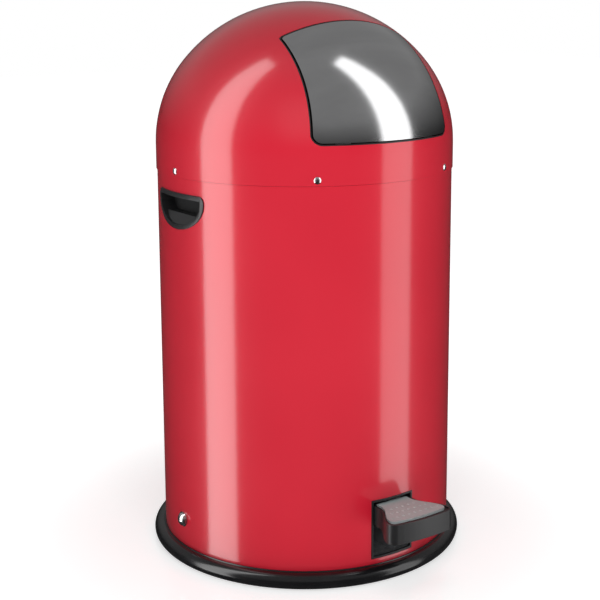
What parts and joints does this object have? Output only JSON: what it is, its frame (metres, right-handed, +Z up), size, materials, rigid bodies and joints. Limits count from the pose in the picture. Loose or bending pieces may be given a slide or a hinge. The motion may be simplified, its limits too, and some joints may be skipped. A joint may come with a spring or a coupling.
{
  "type": "pedal bin",
  "caption": "Tall round steel waste can with a lift-off dome hood, an inward-swinging push flap worked by a foot pedal, recessed side grips and a removable inner bucket.",
  "frame": {"origin": "on the floor, at the centre of the round base", "axes": "+Z up along the body's axis, the flap and pedal face -Y, +X to the user's right as they face +Y"},
  "size_m": [0.3879, 0.434, 0.669],
  "materials": {
    "red_paint": "gloss",
    "black_gloss": "gloss",
    "black_plastic": "satin",
    "natural_plastic": "satin",
    "grey_pad": "satin",
    "stainless": "satin",
    "bright_steel": "polished",
    "zinc": "galvanized",
    "rubber": "matte"
  },
  "bodies": {
    "housing": {"body_shell": "red_paint", "base_ring": "black_gloss", "base_plate": "zinc", "foot_ring": "rubber", "base_screws": "bright_steel", "slot_trim": "black_plastic", "grip_left": "black_plastic", "grip_right": "black_plastic", "axle": "bright_steel", "axle_caps": "bright_steel", "axle_nuts": "bright_steel", "axle_spacers": "natural_plastic", "lever_guide": "zinc", "bucket_ring": "zinc", "rod_guide_upper": "natural_plastic", "rod_guide_lower": "natural_plastic"},
    "pedal": {"pedal_lever": "zinc", "pedal_shell": "black_plastic", "pedal_pad": "grey_pad", "pedal_screws": "bright_steel"},
    "push_rod": {"push_rod": "bright_steel", "rod_foot": "black_plastic", "rod_cap": "black_plastic"},
    "bucket": {"bucket_shell": "zinc", "bail_ears": "zinc", "ear_rivets": "bright_steel"},
    "bail": {"bail_wire": "bright_steel", "bail_grip": "black_plastic"},
    "hood": {"hood_shell": "red_paint", "hood_collar": "black_plastic", "hood_screws": "bright_steel", "opening_trim": "black_plastic", "hinge_tabs": "zinc", "hinge_shaft": "bright_steel", "hinge_clips": "bright_steel", "flap_springs": "bright_steel", "lift_rod_guide": "natural_plastic", "rod_keeper": "zinc"},
    "lift_rod": {"lift_rod": "bright_steel", "lift_pad": "zinc", "lift_rod_tip": "black_plastic"},
    "flap": {"flap_plate": "stainless", "flap_arms": "zinc", "flap_sleeve": "bright_steel", "flap_crank": "zinc", "crank_roller": "black_plastic", "crank_pin": "bright_steel", "flap_stops": "zinc", "stop_bumpers": "rubber"}
  },
  "joints": [
    {"name": "pedal_press", "type": "hinge", "parent": "housing", "child": "pedal", "pos_m": [0, 0, 0.0525], "axis": [1, 0, 0], "range_deg": [0, 9]},
    {"name": "push_rod_lift", "type": "slide", "parent": "housing", "child": "push_rod", "axis": [0, 0, 1], "range_m": [0, 0.0263]},
    {"name": "bucket_lift", "type": "slide", "parent": "housing", "child": "bucket", "axis": [0, 0, 1], "range_m": [0, 0.42]},
    {"name": "bail_swing", "type": "hinge", "parent": "bucket", "child": "bail", "pos_m": [0, 0, 0.4677], "axis": [1, 0, 0], "range_deg": [0, 90]},
    {"name": "hood_lift", "type": "slide", "parent": "bucket", "child": "hood", "axis": [0, 0, 1], "range_m": [0, 0.3]},
    {"name": "lift_rod_slide", "type": "slide", "parent": "hood", "child": "lift_rod", "axis": [0, 0, 1], "range_m": [0, 0.0263]},
    {"name": "flap_swing", "type": "hinge", "parent": "hood", "child": "flap", "pos_m": [0, -0.07037, 0.61811], "axis": [1, 0, 0], "range_deg": [0, 55.1], "stiffness_Nm_per_rad": 0.6, "springref_deg": -34.38}
  ],
  "couplings": [
    {"joint": "push_rod_lift", "follows": "pedal_press", "m_per_rad": 0.1666},
    {"joint": "lift_rod_slide", "follows": "pedal_press", "m_per_rad": 0.1666},
    {"joint": "flap_swing", "follows": "pedal_press", "ratio": 6.1111}
  ]
}
